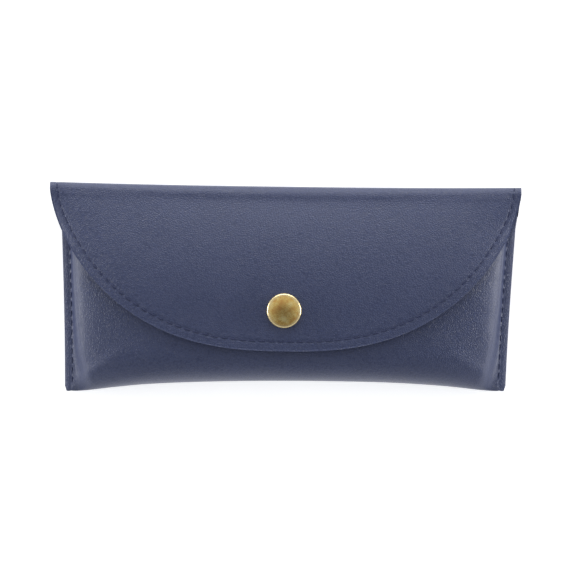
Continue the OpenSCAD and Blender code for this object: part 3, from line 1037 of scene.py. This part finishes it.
def build_pouch_leather(skins):
    """The leather from the mouth's edge to the fold, and the surface that its neighbours follow."""
    grid = sag(lie(pouch_grid()))
    grid = grid + settle(grid, held_places(grid))
    normals, uv = grid_normals(grid), sheet_uv(grid)
    pulled = pull_side_seams(grid, normals)
    radii = (LEATHER_EDGE, 0, LEATHER_EDGE, LEATHER_EDGE)
    shell = grid_solid("pouch_leather", pulled, normals, LEATHER, radii, uv)
    give(shell, "leather", *skins)
    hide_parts("outer_pouch")
    bend_low(shell)
    return shell, grid, normals, uv


def build_pouch_lining(grid, normals, uv, neck, lining):
    """The bag between the seams, and the neck above the mouth."""
    inner = grid - (LEATHER + GLUE) * normals
    part = (slice(0, neck + 1), slice(LINING_COLUMNS, -LINING_COLUMNS))
    bag = grid_solid("pouch_lining", inner[part], normals[part], LINING, (0.0, 0, 0.0, 0.1), uv[part])
    give(bag, "lining", lining, lining)
    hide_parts("lining_pouch")
    bend_low(bag)
    part = slice(neck, None)
    collar = grid_solid("neck_lining", inner[part], normals[part], LINING, (0.1, 0, 0.1, 0), uv[part])
    give(collar, "lining", lining, lining)
    bend_low(collar)
    return bag


def build_flap(skins, lining):
    """The flap's leather, from the fold's outermost line to the tip, and its lining."""
    layout, faces, loop, flat_end = flap_layout()
    x, h = layout.T
    outer, normals = flap_surface(x, h), flap_normals(x, h)
    stitch_line, pitch = flap_stitch_line()
    fine = along(stitch_line, np.linspace(0, lengths(stitch_line)[-1], 3000))
    across, run = distance_and_run(layout, fine)
    pulled = outer - hole_pull(across, run, pitch, FLAP_PULL)[:, None] * normals
    rounding = np.where(flat_end, 0.0, LEATHER_EDGE)
    uv = layout * MM
    cover = sheet_solid("flap_leather", sag(pulled), normals, faces, loop, rounding, LEATHER, uv)
    give(cover, "leather", *skins)
    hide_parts("outer_flap", "outer_fold")
    bend_high(cover)
    under = sag(outer - (LEATHER + GLUE) * normals)
    rounding = np.where(flat_end, 0.0, LINING_EDGE)
    backing = sheet_solid("flap_lining", under, normals, faces, loop, rounding, LINING, uv)
    give(backing, "lining", lining, lining)
    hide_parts("lining_flap", "lining_fold")
    bend_high(backing)


def sew(name, node, runs, material, moves):
    """Rows of stitches that stand for a CAD node. moves is called on the finished piece: stay_on_pouch
    attaches it to the pouch, bend_low and bend_high only bake its transform.
    """
    piece = thread_mesh(name, runs)
    give(piece, "thread", material)
    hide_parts(node)
    moves(piece)


def inner_side(points, normals):
    """The same line on the lining's face."""
    return points - WALL * normals, -normals


def sew_flap(material):
    stitch_line, pitch = flap_stitch_line()
    line = along(stitch_line, np.linspace(0, lengths(stitch_line)[-1], 1200))
    top, normals = flap_surface(*line.T), flap_normals(*line.T)
    sew("flap_needle_stitches", "flap_needle_thread", [(sag(top), normals, pitch)], material, bend_high)
    under, down = inner_side(top, normals)
    sew("flap_bobbin_stitches", "flap_bobbin_thread", [(sag(under), down, pitch)], material, bend_high)


def sew_side_seams(grid, normals, neck, material):
    """Needle thread on the front, and above the mouth on the lining. Bobbin thread on the back."""
    front, inside, rear = slice(2, FRONT_ROWS), slice(neck + 1, None), slice(ROW_BACK, None)
    for side, name in ((-1, "left"), (1, "right")):
        c = seam_column(grid, side)
        needle = [(grid[front, c], normals[front, c], PITCH),
                  (*inner_side(grid[inside, c], normals[inside, c]), PITCH)]
        sew(name + "_seam_front_stitches", name + "_seam_needle_thread", needle, material, bend_low)
        bobbin = [(grid[rear, c], normals[rear, c], PITCH)]
        sew(name + "_seam_back_stitches", name + "_seam_bobbin_thread", bobbin, material, bend_low)


def sew_mouth(grid, normals, material):
    row = row_at(grid, 0, FRONT_ROWS, Y_MOUTH - MOUTH_STITCH)
    span = slice(MOUTH_COLUMNS, -MOUTH_COLUMNS)
    line = grid[row, span], normals[row, span]
    sew("mouth_needle_stitches", "mouth_needle_thread", [(*line, PITCH)], material, stay_on_pouch)
    under = inner_side(*line)
    sew("mouth_bobbin_stitches", "mouth_bobbin_thread", [(*under, PITCH)], material, stay_on_pouch)


def finish_snap():
    """The snap fastener keeps its CAD meshes and gets new materials."""
    metal, steel = brass(), spring_steel()
    for name in ("snap_cap", "snap_socket", "snap_stud", "snap_post", "snap_ring_spring"):
        materials = frame["nodes"][name].data.materials
        materials.clear()
        materials.append(steel if name == "snap_ring_spring" else metal)


def build():
    skins, lining, navy_thread = (leather(), cut_edge()), microfibre(), thread()
    shell, grid, normals, uv = build_pouch_leather(skins)
    neck = row_at(grid, ROW_BACK, ROW_ROLL, Y_MOUTH)
    bag = build_pouch_lining(grid, normals, uv, neck, lining)
    build_flap(skins, lining)
    sew_flap(navy_thread)
    sew_side_seams(grid, normals, neck, navy_thread)
    sew_mouth(grid, normals, navy_thread)
    finish_snap()


make_camera()
make_studio()
build()
